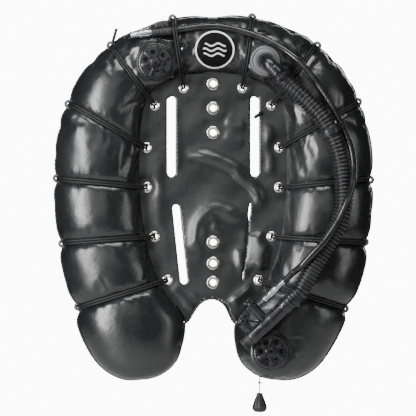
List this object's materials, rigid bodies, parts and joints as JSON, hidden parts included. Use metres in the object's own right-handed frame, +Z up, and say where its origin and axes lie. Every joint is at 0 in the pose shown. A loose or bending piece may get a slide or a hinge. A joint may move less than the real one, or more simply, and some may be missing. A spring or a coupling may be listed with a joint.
{
  "type": "buoyancy compensator wing",
  "caption": "Horseshoe diving buoyancy wing with bungee-laced air tube, flat centre panel, dump valves, corrugated hose and power inflator.",
  "frame": {"origin": "on the centre panel, half way between the two backplate bolt grommets that are 279.4 mm apart", "axes": "+Z up as worn, towards the bend of the horseshoe; -Y out of the face with the inflator elbow; +X towards the elbow's side"},
  "size_m": [0.5892, 0.1876, 0.7193],
  "materials": {
    "cover_fabric": "coated heavy nylon, black, soft sheen",
    "panel_fabric": "doubled coated nylon",
    "piping": "woven binding tape",
    "bladder": "urethane film",
    "badge": "printed round patch",
    "grommet_metal": "nickel plated",
    "bungee": "braided sheath",
    "valve_plastic": "moulded, satin",
    "grey_plastic": "moulded, satin",
    "seal_rubber": "matt",
    "hose_rubber": "satin black",
    "chrome": "polished",
    "spring_steel": "drawn wire",
    "cord": "braided nylon"
  },
  "bodies": {
    "wing": {"centre_panel": "panel_fabric", "front_cover": "cover_fabric", "back_cover": "cover_fabric", "air_bladder": "bladder", "edge_piping": "piping", "badge": "badge", "bolt_grommet_1": "grommet_metal", "bolt_grommet_2": "grommet_metal", "bolt_grommet_3": "grommet_metal", "bolt_grommet_4": "grommet_metal", "bolt_grommet_5": "grommet_metal", "bolt_grommet_6": "grommet_metal", "lace_grommet_left_1": "grommet_metal", "lace_grommet_left_2": "grommet_metal", "lace_grommet_left_3": "grommet_metal", "lace_grommet_left_4": "grommet_metal", "lace_grommet_left_5": "grommet_metal", "lace_grommet_left_6": "grommet_metal", "lace_grommet_right_1": "grommet_metal", "lace_grommet_right_2": "grommet_metal", "lace_grommet_right_3": "grommet_metal", "lace_grommet_right_4": "grommet_metal", "lace_grommet_right_5": "grommet_metal", "lace_grommet_right_6": "grommet_metal", "bungee_left": "bungee", "bungee_right": "bungee", "shoulder_dump_seat": "valve_plastic", "shoulder_dump_cap": "valve_plastic", "shoulder_dump_spring": "spring_steel", "hip_dump_seat": "valve_plastic", "hip_dump_cap": "valve_plastic", "hip_dump_spring": "spring_steel", "rear_dump_seat": "valve_plastic", "rear_dump_cap": "valve_plastic", "rear_dump_spring": "spring_steel", "elbow_flange": "grey_plastic", "elbow": "valve_plastic", "elbow_clamp": "valve_plastic", "corrugated_hose": "hose_rubber", "inflator_clamp": "valve_plastic", "hose_band": "hose_rubber", "inflator_body": "valve_plastic", "mouthpiece": "seal_rubber", "inlet_nipple": "chrome", "inflate_spring": "spring_steel", "exhaust_spring": "spring_steel", "coupler_body": "chrome", "air_hose": "hose_rubber", "hose_sleeve": "seal_rubber", "first_stage_fitting": "chrome"},
    "shoulder_dump_valve": {"shoulder_dump_disc": "seal_rubber"},
    "shoulder_dump_pull": {"shoulder_dump_cord": "cord", "shoulder_dump_toggle": "valve_plastic"},
    "hip_dump_valve": {"hip_dump_disc": "seal_rubber"},
    "rear_dump_valve": {"rear_dump_disc": "seal_rubber"},
    "rear_dump_pull": {"rear_dump_cord": "cord", "rear_dump_knob": "valve_plastic"},
    "inflate_button": {"inflate_button": "grey_plastic"},
    "exhaust_button": {"exhaust_button": "grey_plastic"},
    "coupler_collar": {"coupler_collar": "chrome"}
  },
  "joints": [
    {"name": "shoulder_pull", "type": "slide", "parent": "wing", "child": "shoulder_dump_pull", "axis": [0, 0, 1], "range_m": [0, 0.006], "stiffness_N_per_m": 400, "springref_m": -0.004},
    {"name": "shoulder_lift", "type": "slide", "parent": "wing", "child": "shoulder_dump_valve", "axis": [0, -1, 0], "range_m": [0, 0.004], "deforming": ["shoulder_dump_spring"]},
    {"name": "hip_lift", "type": "slide", "parent": "wing", "child": "hip_dump_valve", "axis": [0, -1, 0], "range_m": [0, 0.004], "stiffness_N_per_m": 400, "springref_m": -0.004, "deforming": ["hip_dump_spring"]},
    {"name": "rear_pull", "type": "slide", "parent": "wing", "child": "rear_dump_pull", "axis": [0, 0, -1], "range_m": [0, 0.006], "stiffness_N_per_m": 400, "springref_m": -0.004},
    {"name": "rear_lift", "type": "slide", "parent": "wing", "child": "rear_dump_valve", "axis": [0, 1, 0], "range_m": [0, 0.004], "deforming": ["rear_dump_spring"]},
    {"name": "inflate_press", "type": "slide", "parent": "wing", "child": "inflate_button", "axis": [0.6889, 0, -0.7249], "range_m": [0, 0.0035], "stiffness_N_per_m": 600, "springref_m": -0.003, "deforming": ["inflate_spring"]},
    {"name": "exhaust_press", "type": "slide", "parent": "wing", "child": "exhaust_button", "axis": [0.6889, 0, -0.7249], "range_m": [0, 0.0035], "stiffness_N_per_m": 600, "springref_m": -0.003, "deforming": ["exhaust_spring"]},
    {"name": "collar_release", "type": "slide", "parent": "wing", "child": "coupler_collar", "axis": [0.7249, 0, 0.6889], "range_m": [0, 0.004], "stiffness_N_per_m": 800, "springref_m": -0.003}
  ],
  "couplings": [
    {"joint": "shoulder_lift", "follows": "shoulder_pull", "ratio": 0.6667},
    {"joint": "rear_lift", "follows": "rear_pull", "ratio": 0.6667}
  ]
}
